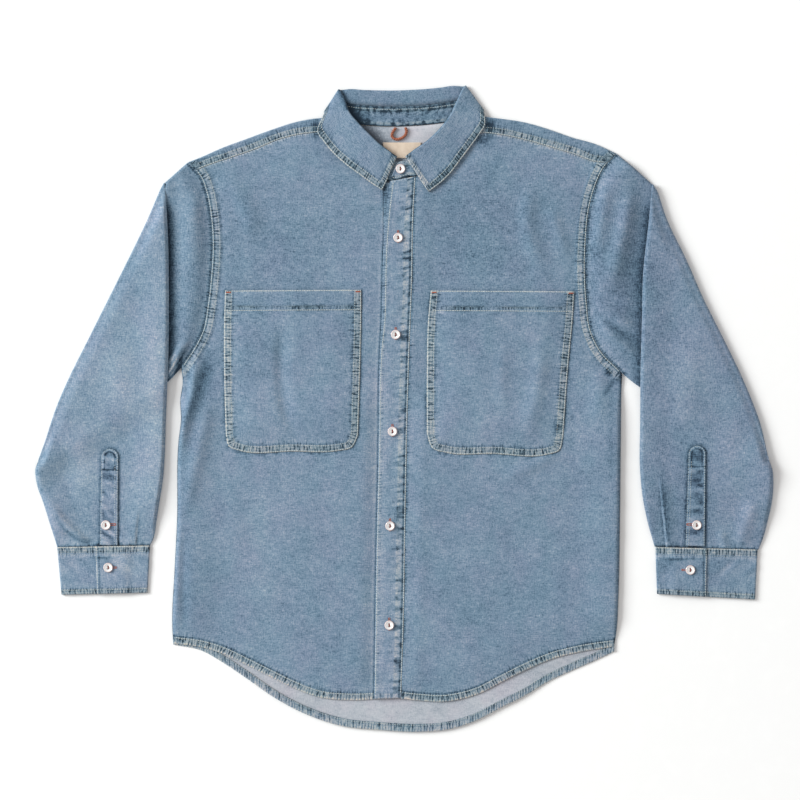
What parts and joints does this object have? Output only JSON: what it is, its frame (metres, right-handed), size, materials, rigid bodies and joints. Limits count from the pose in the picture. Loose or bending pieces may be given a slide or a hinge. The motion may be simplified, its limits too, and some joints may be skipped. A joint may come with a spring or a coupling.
{
  "type": "denim shirt, laid flat",
  "caption": "Long-sleeved denim shirt laid flat and buttoned, with a turned-down collar, chest pockets, a curved hem and sleeves folded forward beside the body.",
  "frame": {"origin": "centre of the shirt's box in X and Y, on the surface it lies on", "axes": "+Z out of the surface, from the back of the shirt to its front; +Y from hem to collar; +X to the wearer's left"},
  "size_m": [0.9222, 0.8084, 0.01],
  "materials": {
    "denim": "washed light-blue twill with cream topstitching",
    "button": "pearly white",
    "loop_cord": "twisted orange-brown cord",
    "label": "cream woven label, blank"
  },
  "bodies": {
    "root": {"back": "denim", "yoke": "denim", "front_right": "denim", "front_left": "denim", "placket_right": "denim", "placket_left": "denim", "collar_stand": "denim", "collar": "denim", "sleeve_right": "denim", "sleeve_left": "denim", "sleeve_placket_right": "denim", "sleeve_placket_left": "denim", "cuff_right": "denim", "cuff_left": "denim", "pocket_right": "denim", "pocket_left": "denim", "button_front_1": "button", "button_front_2": "button", "button_front_3": "button", "button_front_4": "button", "button_front_5": "button", "button_front_6": "button", "button_sleeve_right": "button", "button_sleeve_left": "button", "button_cuff_right": "button", "button_cuff_left": "button", "hanger_loop": "loop_cord", "neck_label": "label"}
  },
  "joints": []
}
